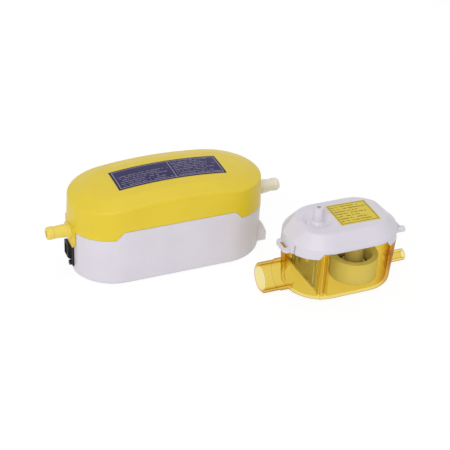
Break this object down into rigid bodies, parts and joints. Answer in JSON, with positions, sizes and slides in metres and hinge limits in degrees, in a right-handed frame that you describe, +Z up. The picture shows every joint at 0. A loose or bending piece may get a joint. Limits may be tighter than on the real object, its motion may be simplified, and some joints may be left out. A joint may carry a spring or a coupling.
{
  "type": "condensate pump",
  "caption": "Small condensate pump set: a reciprocating pump in a rounded two-part casing, and a lidded float reservoir with drain spigot, filter and vent.",
  "frame": {"origin": "centre of the underside of the pump casing", "axes": "+X along the pump casing from its inlet to its outlet, +Z up, so -Y is the side on which the reservoir stands"},
  "size_m": [0.1675, 0.0904, 0.0464],
  "materials": {
    "white_plastic": "fine satin moulding",
    "yellow_plastic": "satin moulding",
    "zinc_steel": "zinc plated",
    "yellow_fitting": "smooth moulding",
    "natural_nylon": "natural, slightly translucent",
    "tube_steel": "ground",
    "mild_steel": "plated sheet and turned rings",
    "black_plastic": "fine spark texture",
    "copper_wire": "enamelled copper wire",
    "black_rubber": "moulded",
    "seal_rubber": "soft moulded",
    "spring_steel": "drawn wire",
    "clear_hose": "soft clear tube",
    "board_green": "solder-masked laminate",
    "capacitor_blue": "shrink sleeve",
    "filter_yellow": "boxed film capacitor",
    "fuse_glass": "clear tube",
    "contact_metal": "tinned",
    "label_film": "printed film",
    "lid_label_film": "printed film",
    "amber_plastic": "clear amber moulding",
    "float_plastic": "closed-cell float and filter moulding",
    "magnet_ferrite": "sintered",
    "mesh_cloth": "fine nylon mesh"
  },
  "bodies": {
    "casing_and_tank": {"base_casing": "white_plastic", "board_fuse": "fuse_glass", "board_screws": "zinc_steel", "buffer_spring": "spring_steel", "circuit_board": "board_green", "coil_bobbin": "black_plastic", "coil_winding": "copper_wire", "control_chip": "black_plastic", "cover_screws": "zinc_steel", "cylinder": "tube_steel", "filter_basket": "float_plastic", "filter_capacitor": "filter_yellow", "filter_mesh": "mesh_cloth", "front_rubber_ring": "black_rubber", "inlet_fitting": "yellow_fitting", "outlet_head": "natural_nylon", "outlet_valve_spring": "spring_steel", "pole_sleeves": "mild_steel", "power_contacts": "contact_metal", "power_socket": "black_plastic", "pump_relay": "black_plastic", "rating_label": "label_film", "rear_rubber_ring": "black_rubber", "return_spring": "spring_steel", "sensor_contacts": "contact_metal", "sensor_socket": "black_plastic", "smoothing_capacitor": "capacitor_blue", "steel_yoke": "mild_steel", "suction_cap": "natural_nylon", "suction_hose": "clear_hose", "tank": "amber_plastic", "thermal_cutout": "black_plastic", "top_cover": "yellow_plastic"},
    "lid": {"tank_lid": "white_plastic", "lid_seal": "seal_rubber", "lid_label": "lid_label_film", "sensor_tube": "white_plastic", "reed_board": "board_green", "reed_switches": "fuse_glass"},
    "float_body": {"float": "float_plastic", "float_magnet": "magnet_ferrite"},
    "piston_body": {"piston": "tube_steel", "piston_valve_cage": "natural_nylon"},
    "piston_valve_body": {"piston_valve": "seal_rubber"},
    "outlet_valve_body": {"outlet_valve": "seal_rubber"}
  },
  "joints": [
    {"name": "lid_lift", "type": "slide", "parent": "casing_and_tank", "child": "lid", "axis": [0, 0, 1], "range_m": [0, 0.034]},
    {"name": "float_rise", "type": "slide", "parent": "casing_and_tank", "child": "float_body", "axis": [0, 0, 1], "range_m": [0, 0.008]},
    {"name": "piston_stroke", "type": "slide", "parent": "casing_and_tank", "child": "piston_body", "axis": [1, 0, 0], "range_m": [-0.004, 0.002], "stiffness_N_per_m": 600, "deforming": ["return_spring", "buffer_spring"]},
    {"name": "piston_valve_lift", "type": "slide", "parent": "piston_body", "child": "piston_valve_body", "axis": [1, 0, 0], "range_m": [0, 0.0012]},
    {"name": "outlet_valve_lift", "type": "slide", "parent": "casing_and_tank", "child": "outlet_valve_body", "axis": [1, 0, 0], "range_m": [0, 0.0012], "stiffness_N_per_m": 40, "deforming": ["outlet_valve_spring"]}
  ]
}
